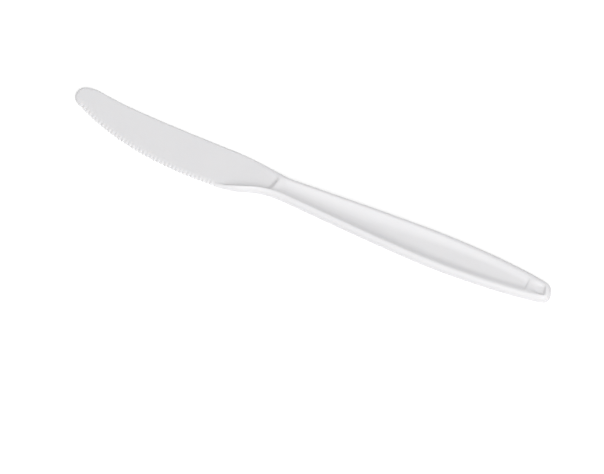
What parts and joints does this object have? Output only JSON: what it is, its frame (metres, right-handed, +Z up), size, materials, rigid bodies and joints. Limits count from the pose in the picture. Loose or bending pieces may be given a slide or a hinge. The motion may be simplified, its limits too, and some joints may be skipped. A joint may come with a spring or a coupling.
{
  "type": "plastic knife",
  "caption": "Disposable moulded plastic table knife with a flat serrated blade and a handle hollowed by a shallow channel between raised rims.",
  "frame": {"origin": "centre of the knife's outline, on the surface that it lies on", "axes": "+X along the handle's axis from the blade's tip to the handle's end, cutting edge facing -Y, +Z up out of the handle's channel"},
  "size_m": [0.175, 0.017, 0.0028],
  "materials": {
    "white_plastic": "slightly translucent white plastic, smooth semi-gloss as moulded"
  },
  "bodies": {
    "root": {"knife": "white_plastic"}
  },
  "joints": []
}
